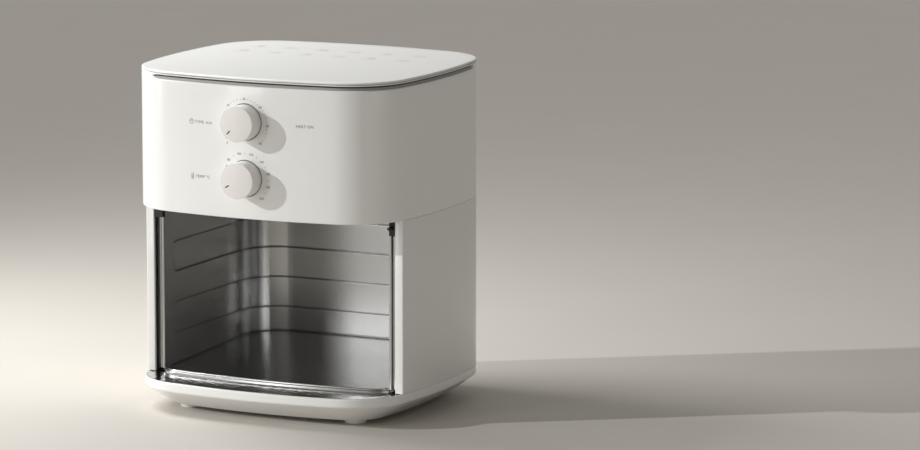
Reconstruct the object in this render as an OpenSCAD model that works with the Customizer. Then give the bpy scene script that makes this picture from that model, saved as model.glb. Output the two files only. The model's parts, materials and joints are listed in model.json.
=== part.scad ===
// Countertop air fryer with two dials, seen with its drawer taken out.
// Front is -Y, up is +Z, and Z = 0 is the worktop under the feet. All sizes in mm.

/* [Plan] */
// Width of the body across its flanks
body_w = 269.4; // [268:0.2:272]
// Depth of the body from its front skin to its back skin
body_d = 247.6; // [246:0.2:250]
// Radius of the four upright corners
corner_r = 56.5; // [55:0.5:58]
// Radius of the four slightly bowed faces
bow_r = 514; // [480:1:560]
// Thickness of the moulded casings
wall = 2.6; // [2.4:0.1:2.8]

/* [Heights] */
// Top of the feet and underside of the base
foot_h = 5; // [4:0.5:6]
// Where the chamfer of the base meets its upright band
chamfer_top = 20.8; // [19:0.1:22]
// How far the chamfer leans in at the underside
chamfer_in = 24; // [20:1:26]
// Top of the base, where the sill lies and the lower casing stands
base_top = 28.7; // [28:0.1:29.5]
// Seam between the lower and the upper casing
seam_z = 184.5; // [184:0.1:185]
// Lower edge of the air slot under the lid
slot_low = 302.7; // [302:0.1:303]
// Upper edge of the air slot under the lid
slot_high = 306.5; // [306:0.1:306.8]
// Top of the lid
height = 310; // [309.8:0.1:311]

/* [Cavity] */
// Half width of the steel liner inside
liner_x = 113.5; // [112.5:0.1:114]
// Inner face of the liner's back wall
liner_back = 110.5; // [109:0.1:111]
// Radius of the liner's two rear corners
liner_r = 36; // [34:0.5:37]
// Floor of the liner
floor_z = 31; // [30.5:0.1:31.5]
// Thickness of the pressed steel
sheet = 1; // [0.8:0.1:1.2]

/* [Dials] */
// Height of the timer's axis
time_z = 270.8; // [270:0.1:272]
// Height of the thermostat's axis
temp_z = 220.5; // [219:0.1:221]
// Radius of both knobs
knob_r = 16; // [14:0.1:17]
// Length of both knobs
knob_len = 16.9; // [16:0.1:17]
// Radius of both shafts
shaft_r = 3; // [2.9:0.05:3.1]

/* [Air drive] */
// Where the fan's axis stands, behind the middle of the body
fan_y = 18; // [16:1:20]
// Radius of the convection fan
fan_r = 60; // [56:1:62]
// Inner radius of the heater pan
pan_r = 88; // [87:0.5:89]

/* [Hidden] */

$fn = 64;
cut = 0.1;            // how far a cutter runs past the face it cuts
slip = 0.05;          // radial play of a running fit
front_y = -body_d / 2;
bow_to_corner = bow_r - corner_r;
bow_cy = bow_r - body_d / 2;
bow_cx = bow_r - body_w / 2;
half_span = norm([bow_cx, bow_cy]) / 2;
rise = sqrt(bow_to_corner * bow_to_corner - half_span * half_span);
corner_x = -bow_cx / 2 + rise * bow_cy / (2 * half_span);
corner_y = -bow_cy / 2 + rise * bow_cx / (2 * half_span);
side_turn = atan2(corner_y, corner_x + bow_cx);
back_turn = atan2(corner_y + bow_cy, corner_x);
jamb_y = -72.5;       // front of the lower casing, beside the mouth
jamb_x = 121.5;       // inner edge of the jambs
lip_y = -67;          // front edge of the liner's walls
lip_bow = 750;        // radius of the bowed front lip of the liner's floor
lip_front = -82;      // foremost point of that lip
lip_r = 18;           // its corner radius
groove_low = 307.4;   // parting groove round the lid
groove_high = 308.4;
groove_in = 2.5;
deck_in = 26;         // how far the top deck reaches in
deck_t = 2.5;
roof_z = 183;         // underside of the cavity's roof
pan_z = roof_z + 1.2; // underside of the heater pan's rim
chassis_z = pan_z + 1;
chassis_top = chassis_z + 1.2;
pan_top = 214;
mount_top = 219.5;
stator_low = 232;
stator_high = 256;
bell_t = 6;
bracket_y = -114;     // front face of the control bracket
bracket_t = 1.2;
recess_y = -122.4;    // floor of the shallow recess round each knob
knob_back = -122.9;
plunger_x = 118;
plunger_z = 177;
plunger_r = 1.6;
press = 3;            // travel of the drawer plunger
hood_back = -knob_back + knob_len;  // rear face of the vent cover, which spaces the body off a wall
foot_at = [83, 74];
cover_post = [60, 100];
casing_post = [124, 2.5];           // x and middle y of the posts that join the casings
post_pitch = 85;                    // spacing of those posts along y

// ---- plan outlines ----
// points along an arc of n steps, without its last point
function arc(c, r, a0, a1, n) =
    [for (i = [0 : n - 1]) let (a = a0 + (a1 - a0) * i / n) c + r * [cos(a), sin(a)]];

// four bowed faces joined by four tangent corners, moved in by t
function outline(t) = concat(
    arc([-bow_cx, 0], bow_r - t, -side_turn, side_turn, 8),
    arc([corner_x, corner_y], corner_r - t, side_turn, back_turn, 10),
    arc([0, -bow_cy], bow_r - t, back_turn, 180 - back_turn, 8),
    arc([-corner_x, corner_y], corner_r - t, 180 - back_turn, 180 - side_turn, 10),
    arc([bow_cx, 0], bow_r - t, 180 - side_turn, 180 + side_turn, 8),
    arc([-corner_x, -corner_y], corner_r - t, 180 + side_turn, 180 + back_turn, 10),
    arc([0, bow_cy], bow_r - t, 180 + back_turn, 360 - back_turn, 8),
    arc([corner_x, -corner_y], corner_r - t, 360 - back_turn, 360 - side_turn, 10));

// the liner in plan: square rear corners of radius liner_r, and a front at y
function u_shape(off, y) = concat([[liner_x + off, y]],
    arc([liner_x - liner_r, liner_back - liner_r], liner_r + off, 0, 90, 12),
    arc([-liner_x + liner_r, liner_back - liner_r], liner_r + off, 90, 180, 12),
    [[-liner_x - off, liner_back - liner_r], [-liner_x - off, y]]);

// the liner's floor, whose front lip is bowed and has round corners
lip_turn = asin((liner_x - lip_r) / (lip_bow - lip_r));
lip_cy = lip_front + lip_bow;
lip_corner_y = lip_cy - (lip_bow - lip_r) * cos(lip_turn);
function floor_shape(off) = concat(
    arc([liner_x - liner_r, liner_back - liner_r], liner_r + off, 0, 90, 12),
    arc([-liner_x + liner_r, liner_back - liner_r], liner_r + off, 90, 180, 12),
    arc([-liner_x + lip_r, lip_corner_y], lip_r + off, 180, 270 - lip_turn, 8),
    arc([0, lip_cy], lip_bow + off, 270 - lip_turn, 270 + lip_turn, 14),
    arc([liner_x - lip_r, lip_corner_y], lip_r + off, 270 + lip_turn, 360, 8),
    [[liner_x + off, lip_corner_y]]);

module slab(z0, z1, inset = 0) {
    translate([0, 0, z0]) linear_extrude(z1 - z0) polygon(outline(inset));
}
module skirt(z0, z1, inset, thick) {
    difference() {
        slab(z0, z1, inset);
        slab(z0 - cut, z1 + cut, inset + thick);
    }
}
module block(lo, hi) {
    translate(lo) cube(hi - lo);
}
module rod_y(x, z, y0, y1, r) {
    translate([x, y0, z]) rotate([-90, 0, 0]) cylinder(h = y1 - y0, r = r);
}
module rod_x(y, z, x0, x1, r) {
    translate([x0, y, z]) rotate([0, 90, 0]) cylinder(h = x1 - x0, r = r);
}
module post(x, y, z0, z1, r) {
    translate([x, y, z0]) cylinder(h = z1 - z0, r = r);
}
module four(p) {
    for (sx = [-1, 1], sy = [-1, 1]) translate([sx * p[0], sy * p[1], 0]) children();
}
module screw(z_tip, z_seat, r, head_r, head_h) {
    post(0, 0, z_tip, z_seat, r);
    post(0, 0, z_seat, z_seat + head_h, head_r);
}
module fan_axis() {
    translate([0, fan_y, 0]) children();
}
module casing_posts() {
    for (sx = [-1, 1], sy = [-0.5, 0.5])
        translate([sx * casing_post[0], casing_post[1] + sy * post_pitch, 0]) children();
}

// ---- lid and upper casing ----
module top_cover() color("whitesmoke") {
    slab(groove_high, height);
    skirt(slot_high - 2, groove_high, deck_in + 0.3, 2);
}
module cover_frame() color("whitesmoke") difference() {
    union() {
        slab(slot_high, groove_low);
        slab(groove_low, groove_high, groove_in);
    }
    slab(slot_high - cut, groove_high + cut, deck_in);
    four(cover_post) post(0, 0, slot_high - cut, groove_high + cut, 1.5 + slip);
    four(cover_post) post(0, 0, groove_high - 1, groove_high + cut, 3.1);
}
// dark slotted band behind the air slot
module intake_ring() color("dimgray") difference() {
    skirt(slot_low, slot_high, 10, 2);
    for (i = [0 : 23]) rotate(i * 15 + 7.5) block([100, -4, slot_low + 0.8], [150, 4, slot_high - 0.8]);
    for (i = [0 : 23]) rotate(i * 15) block([100, -1.2, slot_low + 0.8], [150, 1.2, slot_high - 0.8]);
}
module cover_screws() color("silver") {
    four(cover_post) screw(slot_low - 6, groove_high - 1, 1.5, 3, 0.9);
}
// the solid corner between the two air slots, and the same one opposite
module slot_bridges() {
    for (turn = [0, 180]) rotate(turn) intersection() {
        skirt(slot_low - cut, slot_high, 0, 8);
        translate([0, 0, slot_low - cut]) linear_extrude(slot_high - slot_low + cut)
            polygon([[0, 0], [260, 140], [260, 300], [198, 224]]);
    }
}
knob_heights = [time_z, temp_z];
bracket_posts = [for (x = [-34, 34], z = [204, 288]) [x, z]];
hood_window = [40, 190, 284];
module upper_housing() color("whitesmoke") difference() {
    union() {
        skirt(seam_z, slot_low, 0, wall);
        skirt(slot_low - deck_t, slot_low, 0, deck_in);
        slot_bridges();
        four(cover_post) post(0, 0, slot_low - 9, slot_high, 4.5);
        for (z = knob_heights) rod_y(0, z, -123, -118.6, knob_r + 4);
        for (p = bracket_posts) rod_y(p[0], p[1], -121.6, bracket_y, 3.5);
    }
    for (z = knob_heights) rod_y(0, z, front_y - cut, recess_y, knob_r + 0.8);
    for (z = knob_heights) rod_y(0, z, front_y - cut, -118, shaft_r + 1.2);
    four(cover_post) post(0, 0, slot_low - 7, slot_high + cut, 1.5 + slip);
    for (p = bracket_posts) rod_y(p[0], p[1], bracket_y - 6, bracket_y + cut, 1.5 + slip);
    block([-hood_window[0], 110, hood_window[1]], [hood_window[0], 130, hood_window[2]]);
    for (x = [-42.5, 42.5], z = [192, 288]) rod_y(x, z, 112, 130, 1.5 + slip);
}
// black floor of the upper casing over the drawer's front
module underside_panel() color("dimgray") difference() {
    slab(seam_z + 0.3, seam_z + 2.7, wall + 0.4);
    block([-150, jamb_y - 0.3, seam_z], [150, 150, seam_z + 4]);
}

// ---- rear vent cover ----
hood_x = 47;
hood_z = [187, 293];
module rounded_plate(x, z0, z1, r) {
    for (sx = [-1, 1], z = [z0 + r, z1 - r]) translate([sx * (x - r), z]) circle(r);
    translate([-x, z0 + r]) square([2 * x, z1 - z0 - 2 * r]);
    translate([-x + r, z0]) square([2 * (x - r), z1 - z0]);
}
module hood_solid(y0, y1, in) {
    translate([0, y1, 0]) rotate([90, 0, 0]) linear_extrude(y1 - y0)
        rounded_plate(hood_x - in, hood_z[0] + in, hood_z[1] - in, 10 - in);
}
module rear_vent_cover() color("whitesmoke") difference() {
    hood_solid(110, hood_back, 0);
    difference() {
        hood_solid(109, hood_back - wall, wall);
        for (x = [-42.5, 42.5], z = [192, 288]) rod_y(x, z, 109, hood_back, 4.4);
    }
    slab(hood_z[0] - 5, hood_z[1] + 5);
    for (i = [0 : 9]) block([-34, hood_back - 5, 200 + 8.4 * i], [34, hood_back + 1, 204 + 8.4 * i]);
    for (x = [-42.5, 42.5], z = [192, 288]) rod_y(x, z, 109, hood_back - 3, 1.5 + slip);
    for (x = [-42.5, 42.5], z = [192, 288]) rod_y(x, z, hood_back - 3, hood_back + 1, 3.1);
}
module vent_screws() color("silver") {
    for (x = [-42.5, 42.5], z = [192, 288]) {
        rod_y(x, z, 115, hood_back - 3, 1.5);
        rod_y(x, z, hood_back - 3, hood_back - 1, 3);
    }
}

// ---- lower casing, with the mouth in front ----
gland_x = -60;
gland_z = 48;
gland_in = 114.6;       // inner end of the gland, clear of the heat shield
module lower_housing() color("whitesmoke") difference() {
    union() {
        difference() {
            skirt(base_top, seam_z, 0, wall);
            block([-150, -150, base_top - 1], [150, jamb_y, seam_z + 1]);
        }
        intersection() {
            slab(base_top, seam_z, 0.5);
            for (s = [-1, 1]) translate([s * 130, jamb_y + 1.2, 0])
                block([-8.5, -1.2, base_top], [8.5, 1.2, seam_z]);
        }
        intersection() {
            slab(base_top, chassis_z, wall / 2);
            casing_posts() post(0, 0, 168, chassis_z, 4);
        }
        intersection() {
            slab(168, seam_z, wall / 2);
            casing_posts() block([-8, -1, 168], [8, 1, seam_z]);
            for (s = [-1, 1]) translate([s * 130, 0, 168]) block([-6, -100, 0], [6, 100, seam_z - 168]);
        }
    }
    casing_posts() post(0, 0, 170, chassis_z + cut, 1.5 + slip);
    rod_y(gland_x, gland_z, 110, 130, 7);
}
module cord_gland() color("dimgray") difference() {
    union() {
        rod_y(gland_x, gland_z, gland_in, 126, 6.9);
        difference() {
            rod_y(gland_x, gland_z, 115, 124.5, 10);
            slab(gland_z - 15, gland_z + 15);
        }
        intersection() {
            rod_y(gland_x, gland_z, gland_in, 119, 8.6);
            slab(gland_z - 15, gland_z + 15, wall);
        }
    }
    rod_y(gland_x, gland_z, 111, 127, 3.6);
}

// ---- base ----
// a pointed oval along the flank, between two arcs
function lens(half, y0, y1) = let (
    mid = (y0 + y1) / 2,
    span = (y1 - y0) / 2,
    big = (span * span + half * half) / (2 * half),
    turn = asin(span / big))
    concat(arc([half - big, mid], big, -turn, turn, 12),
        arc([big - half, mid], big, 180 - turn, 180 + turn, 12));
grille_x = 121.5;
grille_y = [-60, 92];
module grille_prism(grow) {
    for (s = [-1, 1]) translate([s * grille_x, 0, 6]) linear_extrude(16)
        polygon(lens(5.5 + grow, grille_y[0] - grow, grille_y[1] + grow));
}
module chamfered(inset) {
    hull() {
        slab(foot_h + inset, foot_h + inset + 0.01, chamfer_in + inset * 0.4);
        slab(chamfer_top - 0.01, chamfer_top, inset);
    }
}
tray_posts = [[95, 40], [40, 80]];
module base_tray() color("whitesmoke") difference() {
    union() {
        difference() {
            union() {
                chamfered(0);
                slab(chamfer_top, base_top);
            }
            chamfered(wall);
            slab(chamfer_top - 0.02, base_top + cut, wall);
            slab(base_top - 1, base_top + cut, 2);
            grille_prism(0);
        }
        skirt(base_top - 4, base_top - 1, wall - 0.3, 4);
        four(foot_at) post(0, 0, foot_h, 16, 5);
        for (p = tray_posts) four(p) post(0, 0, foot_h + 1, base_top - 1, 4);
    }
    four(foot_at) post(0, 0, foot_h - cut, 16 + cut, 1.6 + slip);
    four(foot_at) post(0, 0, 13, 16 + cut, 3.2);
}
// slotted lens-shaped inserts in the chamfer's two flanks
slot_pitch = 6;
module base_grilles() color("lightgray") difference() {
    intersection() {
        difference() {
            chamfered(0.3);
            chamfered(1.9);
        }
        grille_prism(-0.3);
    }
    intersection() {
        for (y = [grille_y[0] + 18 : slot_pitch : grille_y[1] - 18])
            block([-140, y, 4], [140, y + slot_pitch / 2, 22]);
        grille_prism(-1.7);
    }
}
module feet() color("whitesmoke") four(foot_at) difference() {
    union() {
        post(0, 0, 0.8, foot_h, 10.2);
        post(0, 0, 0, 0.8, 9.6);
    }
    post(0, 0, 2, foot_h + cut, 1.6 + slip);
}
module foot_screws() color("silver") four(foot_at) screw(2.2, 13, 1.6, 3.1, 2);
module sill_plate() color("silver") difference() {
    slab(base_top - 1, base_top, 2);
    block([-150, -50, 0], [150, 150, 40]);
}
module floor_insulation() color("beige") difference() {
    translate([0, 0, base_top - 1]) linear_extrude(floor_z - sheet - base_top + 1) polygon(u_shape(-6, -45));
    for (s = [-1, 1]) post(s * 60, 30, base_top - 2, floor_z, 6);
}

// ---- cavity ----
module cavity_liner() color("silver") difference() {
    union() {
        translate([0, 0, base_top]) linear_extrude(roof_z - base_top) polygon(floor_shape(sheet));
        for (s = [-1, 1]) translate([s * (liner_x + 4.4), lip_y + 0.5, (floor_z + roof_z) / 2])
            cube([7, 1, roof_z - floor_z], center = true);
        translate([0, 0, roof_z - sheet]) linear_extrude(sheet) polygon(u_shape(2.6, lip_y));
    }
    translate([0, 0, floor_z]) linear_extrude(200) polygon(floor_shape(0));
    translate([0, 0, base_top - cut]) linear_extrude(floor_z - sheet - base_top + cut)
        polygon(floor_shape(-sheet));
    block([-150, -150, floor_z], [150, lip_y, 200]);
    rod_y(plunger_x, plunger_z, lip_y - 1, lip_y + 2, 2.3);
}
module cavity_roof() color("silver") difference() {
    translate([0, 0, roof_z]) linear_extrude(1.2) polygon(u_shape(2.6, lip_y));
    fan_axis() post(0, 0, roof_z - 1, roof_z + 3, pan_r - 4);
}
// black bar over the mouth, with a cheek at each end that covers the liner's edge
cheek_low = 170;
cheek_top = 181.8;
module opening_frame() color("dimgray") difference() {
    union() {
        block([-jamb_x + 0.3, jamb_y + 0.3, cheek_top], [jamb_x - 0.3, lip_y - 0.3, pan_z]);
        block([plunger_x - 2.1, jamb_y + 0.3, cheek_low], [jamb_x - 0.3, lip_y - 0.3, pan_z]);
        block([-jamb_x + 0.3, jamb_y + 0.3, cheek_low], [-liner_x + 0.6, lip_y - 0.3, pan_z]);
    }
    rod_y(plunger_x, plunger_z, jamb_y - 1, lip_y + 1, plunger_r + slip);
}
module heat_shield() color("lightgray") difference() {
    translate([0, 0, 33]) linear_extrude(146) polygon(u_shape(3.6, -30));
    translate([0, 0, 32]) linear_extrude(148) polygon(u_shape(3, -31));
}

// ---- drawer interlock ----
stop_y = lip_y + 2;    // front face of the collar behind the liner
carrier_y = stop_y + 8.2;
module interlock_plunger() color("dimgray") {
    rod_y(plunger_x, plunger_z, jamb_y - 4.5, carrier_y - 0.4, plunger_r);
    rod_y(plunger_x, plunger_z, stop_y, stop_y + 1.2, 3.2);
}
spring_low = stop_y + 1.5;
spring_len = 6.1;
spring_turns = 4;
// closed rings of the wire, evenly spaced between the collar and the carrier
module plunger_spring() color("silver") {
    wire_r = 0.3;
    pitch = (spring_len - 2 * wire_r) / spring_turns;
    for (i = [0 : spring_turns]) translate([plunger_x, spring_low + wire_r + i * pitch, plunger_z])
        rotate([90, 0, 0]) rotate_extrude() translate([2.4, 0]) circle(wire_r, $fn = 16);
}
module switch_carrier() color("dimgray") difference() {
    union() {
        block([114.9, carrier_y, 166], [124, carrier_y + 1.2, 181.5]);
        block([114.9, lip_y + 1.1, 166], [124, carrier_y + 0.1, 168]);
        block([114.9, lip_y + 1.1, 180.6], [124, carrier_y + 0.1, 181.8]);
    }
    rod_y(plunger_x, plunger_z, carrier_y - 1, carrier_y + 2, 1.8);
}
switch_y = carrier_y + 1.2;
module interlock_switch() color("black") difference() {
    block([114.9, switch_y, 164], [121.3, switch_y + 10, 181]);
    rod_y(plunger_x, plunger_z, switch_y - 1, switch_y + 8.4, 1.2 + slip);
    rod_y(plunger_x, plunger_z, switch_y - 1, switch_y + 2, plunger_r + 0.2);
}
module switch_button() color("red") rod_y(plunger_x, plunger_z, carrier_y - 0.3, switch_y + 4.8, 1.2);

// ---- chassis and heater ----
module chassis_plate() color("silver") difference() {
    slab(chassis_z, chassis_top, wall + 0.4);
    block([-150, -150, chassis_z - 1], [150, lip_y, chassis_top + 1]);
    fan_axis() post(0, 0, chassis_z - 1, chassis_top + 1, pan_r + 1.5);
    casing_posts() post(0, 0, chassis_z - 1, chassis_top + 1, 1.5 + slip);
    for (p = mount_feet) post(p[0], p[1], chassis_z - 1, chassis_top + 1, 1.5 + slip);
}
module housing_screws() color("silver") casing_posts() screw(171, chassis_top, 1.5, 3, 2);
module heater_pan() color("silver") difference() {
    fan_axis() union() {
        post(0, 0, pan_z, chassis_z, pan_r + 10);
        post(0, 0, pan_z, pan_top, pan_r + 1);
    }
    block([-150, -150, pan_z - 1], [150, jamb_y + cut, pan_top]);
    fan_axis() post(0, 0, pan_z - 1, pan_top - 1, pan_r);
    fan_axis() post(0, 0, pan_top - 2, pan_top + 1, 10);
    block([-26, 60, 193], [26, 130, 209]);
    rod_y(0, 200, -80, -40, 2.4);
    for (s = [-1, 1]) post(s * 12, fan_y - 69, pan_top - 2, pan_top + 1, 3.6);
}
element_z = 190.5;
tube_r = 3.2;
module heating_element() color("dimgray") {
    fan_axis() translate([0, 0, element_z]) {
        rotate_extrude() translate([70, 0]) circle(tube_r, $fn = 32);
        rotate_extrude() translate([62, 0]) circle(tube_r, $fn = 32);
        rotate([0, 0, 90]) rotate([0, 90, 0]) translate([0, 0, 62]) cylinder(h = 8, r = 2.4);
    }
    for (s = [-1, 1]) post(s * 12, fan_y - 69, element_z, 224, 2.8);
}
module element_clips() color("silver") {
    for (a = [30, 150, 250]) fan_axis() rotate(a) {
        block([75, -4, 186], [76.2, 4, pan_top - 1]);
        block([56, -4, 186], [75.5, 4, 187.2]);
        block([75, -4, pan_top - 2.2], [84, 4, pan_top - 1]);
    }
}
module exhaust_duct() color("lightgray") difference() {
    block([-30, 98, 190], [30, 121, 212]);
    block([-28.6, 90, 191.4], [28.6, 130, 210.6]);
    fan_axis() post(0, 0, 180, 230, pan_r + 1.4);
    difference() {
        slab(180, 230, -10);
        slab(179, 231, wall + 0.2);
    }
}
module thermal_fuse() color("beige") {
    rod_x(60, pan_top + 2.5, 36, 54, 2.5);
    rod_x(60, pan_top + 2.5, 28, 62, 0.6);
}

// ---- fan motor ----
module convection_fan() color("silver") fan_axis() {
    difference() {
        union() {
            post(0, 0, 196.4, 206.2, 7);
            post(0, 0, 205, 206.2, fan_r);
        }
        post(0, 0, 190, 210, shaft_r + 0.02);
    }
    for (i = [0 : 11]) rotate(i * 30) translate([22, -0.6, 196.4]) rotate(18) cube([34, 1.2, 8.7]);
}
module fan_nut() color("silver") fan_axis() difference() {
    translate([0, 0, 191.4]) cylinder(h = 5, r = 6, $fn = 6);
    post(0, 0, 190, 200, shaft_r + 0.02);
}
module motor_shaft() color("silver") fan_axis() post(0, 0, 190.4, 286, shaft_r);
module motor_rotor() color("gray") fan_axis() difference() {
    post(0, 0, stator_low, stator_high, 15.8);
    post(0, 0, stator_low - 1, stator_high + 1, shaft_r + 0.02);
}
module motor_stator() color("gray") fan_axis() difference() {
    translate([-30, -22, stator_low]) cube([60, 60, stator_high - stator_low]);
    post(0, 0, stator_low - 1, stator_high + 1, 16.3);
    translate([-18, 22, stator_low - 1]) cube([36, 9, 40]);
    for (s = [-1, 1]) post(s * 25, 0, stator_low - 1, stator_high + 1, 1.6 + slip);
}
module motor_coil() color("orangered") fan_axis() difference() {
    translate([-17.6, 22.4, stator_low - 7]) cube([35.2, 22.8, stator_high - stator_low + 14]);
    translate([-19, 30.8, stator_low - 0.2]) cube([38, 7.4, stator_high - stator_low + 0.4]);
}
module end_bell(z) {
    difference() {
        union() {
            post(0, 0, z, z + bell_t, 12);
            translate([-29, -7, z]) cube([58, 14, bell_t]);
        }
        post(0, 0, z - 1, z + bell_t + 1, 5.5);
        for (s = [-1, 1]) post(s * 25, 0, z - 1, z + bell_t + 1, 1.6 + slip);
    }
}
module lower_end_bell() color("lightgray") fan_axis() end_bell(stator_low - bell_t);
module upper_end_bell() color("lightgray") fan_axis() end_bell(stator_high);
module bearing(z) {
    difference() {
        post(0, 0, z, z + bell_t, 5.5);
        post(0, 0, z - 1, z + bell_t + 1, shaft_r + slip);
    }
}
module lower_bearing() color("goldenrod") fan_axis() bearing(stator_low - bell_t);
module upper_bearing() color("goldenrod") fan_axis() bearing(stator_high);
module motor_bolts() color("silver") fan_axis() {
    for (s = [-1, 1]) translate([s * 25, 0, 0]) screw(mount_top - 2.6, stator_high + bell_t, 1.6, 3.2, 2.4);
}
module cooling_fan() color("dimgray") fan_axis() {
    difference() {
        union() {
            post(0, 0, 267, 284, 8);
            post(0, 0, 267, 268.6, 48);
        }
        post(0, 0, 260, 290, shaft_r + 0.02);
    }
    for (i = [0 : 9]) rotate(i * 36) translate([16, -0.7, 268.4]) rotate(22) cube([28, 1.4, 14]);
}
mount_x = 100;
mount_feet = [for (s = [-1, 1], y = [-12, 12]) [s * 106, fan_y + y]];
module motor_mount() color("silver") difference() {
    union() {
        block([-mount_x, fan_y - 20, mount_top - 1.5], [mount_x, fan_y + 20, mount_top]);
        for (s = [-1, 1]) {
            translate([s * (mount_x - 0.75), fan_y, (chassis_top + mount_top) / 2])
                cube([1.5, 40, mount_top - chassis_top], center = true);
            translate([s * (mount_x + 5.5), fan_y, chassis_top + 0.75]) cube([13, 40, 1.5], center = true);
            fan_axis() post(s * 25, 0, mount_top - 0.5, stator_low - bell_t, 4);
        }
    }
    fan_axis() post(0, 0, mount_top - 3, mount_top + 1, 9);
    for (s = [-1, 1]) fan_axis() post(s * 25, 0, mount_top - 3, 230, 1.6 + slip);
    for (p = mount_feet) post(p[0], p[1], chassis_top - 1, chassis_top + 3, 1.5 + slip);
}
module mount_screws() color("silver") {
    for (p = mount_feet) translate([p[0], p[1], 0]) screw(chassis_z + 0.2, chassis_top + 1.5, 1.5, 3, 2);
}

// ---- controls ----
lamp = [60.5, 270.6];
module control_bracket() color("silver") difference() {
    block([-42, bracket_y, 196], [72, bracket_y + bracket_t, 296]);
    for (z = knob_heights) rod_y(0, z, bracket_y - 1, bracket_y + 3, 5 + slip);
    for (p = bracket_posts) rod_y(p[0], p[1], bracket_y - 1, bracket_y + 3, 1.5 + slip);
    rod_y(lamp[0], lamp[1], bracket_y - 1, bracket_y + 3, 4 + slip);
}
module bracket_screws() color("silver") {
    for (p = bracket_posts) {
        rod_y(p[0], p[1], bracket_y - 5, bracket_y + bracket_t, 1.5);
        rod_y(p[0], p[1], bracket_y + bracket_t, bracket_y + bracket_t + 2, 3);
    }
}
body_y = bracket_y + bracket_t;
module timer_module() color("lightgray") difference() {
    union() {
        block([-22, body_y, time_z - 21], [22, -82, time_z + 14]);
        rod_y(0, time_z, bracket_y - 3.4, body_y + 1, 5);
    }
    rod_y(0, time_z, bracket_y - 5, -90, shaft_r + slip);
}
module timer_bell() color("silver") difference() {
    rod_y(0, time_z - 2, -82, -76, 15);
    rod_y(0, time_z - 2, -80.8, -75, 13.8);
}
module dial_shaft(z, y_end) {
    difference() {
        rod_y(0, z, knob_back + 0.6 - 10.9, y_end, shaft_r);
        block([-4, knob_back - 15, z + 2.2], [4, knob_back - 2, z + 4]);
    }
}
module timer_shaft() color("white") dial_shaft(time_z, -90.5);
module thermostat_shaft() color("white") dial_shaft(temp_z, -96.5);
// rounded cap with a hub inside, along -Y, with a shallow pointer mark at an angle seen from the front
module knob(z, pointer) {
    edge = 1.6;
    difference() {
        translate([0, knob_back, z]) rotate([90, 0, 0]) rotate_extrude() polygon(concat(
            [[shaft_r + 0.03, 0.6], [5.5, 0.6], [5.5, knob_len - 2.5], [knob_r - 2, knob_len - 2.5],
                [knob_r - 2, 0], [knob_r, 0]],
            arc([knob_r - edge, knob_len - edge], edge, 0, 90, 6),
            [[knob_r - edge, knob_len], [0, knob_len], [0, 11.5], [shaft_r + 0.03, 11.5]]));
        translate([0, knob_back - knob_len, z]) rotate([0, -pointer, 0])
            block([8.6, -1, -0.6], [13.1, 0.3, 0.6]);
    }
}
module time_knob() color("whitesmoke") knob(time_z, 225);
module temp_knob() color("whitesmoke") knob(temp_z, 210);
module thermostat_body() color("beige") difference() {
    union() {
        rod_y(0, temp_z, body_y, -90, 17);
        rod_y(0, temp_z, bracket_y - 3.4, body_y + 1, 5);
        block([-4, -91, temp_z - 13], [4, -86, temp_z - 5]);
    }
    rod_y(0, temp_z, bracket_y - 5, -96, shaft_r + slip);
}
module shaft_nuts() color("silver") {
    for (z = knob_heights) difference() {
        translate([0, bracket_y, z]) rotate([90, 0, 0]) cylinder(h = 2.6, r = 8, $fn = 6);
        rod_y(0, z, bracket_y - 5, bracket_y + 1, 5.03);
    }
}
bulb_end = [0, -73, 200];
module sensor_bulb() color("peru") rod_y(0, bulb_end[2], bulb_end[1], -48, 2);
// rings of points round a route, joined into one closed tube
tube_sides = 8;
function ring(route, i, r) = let (
    d = route[min(i + 1, len(route) - 1)] - route[max(i - 1, 0)],
    t = d / norm(d),
    u = [1, 0, 0],
    v = cross(t, u))
    [for (k = [0 : tube_sides - 1]) let (a = k * 360 / tube_sides) route[i] + r * (cos(a) * u + sin(a) * v)];
module tube(route, r) {
    n = len(route);
    last = (n - 1) * tube_sides;
    polyhedron(
        points = [for (i = [0 : n - 1]) each ring(route, i, r)],
        faces = concat([[for (k = [0 : tube_sides - 1]) k]],
            [for (i = [0 : n - 2], k = [0 : tube_sides - 1]) let (j = (k + 1) % tube_sides)
                [i * tube_sides + k, (i + 1) * tube_sides + k, (i + 1) * tube_sides + j, i * tube_sides + j]],
            [[for (k = [tube_sides - 1 : -1 : 0]) last + k]]));
}
capillary_route = [[0, -86, 211], [0, -84.5, 211], [0, -82.6, 210.2], [0, -81.4, 208.4], [0, -81, 205],
    [0, -80, 202], [0, -77.5, 200.2], [0, -75, 200], [0, -73, 200]];
module capillary_tube() color("peru") tube(capillary_route, 0.8);
module indicator_lamp() color("orange") {
    rod_y(lamp[0], lamp[1], bracket_y - 2, bracket_y + 8, 4);
    rod_y(lamp[0], lamp[1], bracket_y + bracket_t, bracket_y + bracket_t + 1.4, 5.5);
}
module terminal_block() color("ivory") difference() {
    translate([-88, 82, chassis_top + 6]) rotate(45) cube([26, 12, 12], center = true);
    for (i = [-1, 1]) translate([-88, 82, 0]) rotate(45)
        post(i * 7, 0, chassis_top + 5, chassis_top + 20, 1.8);
}

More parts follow.
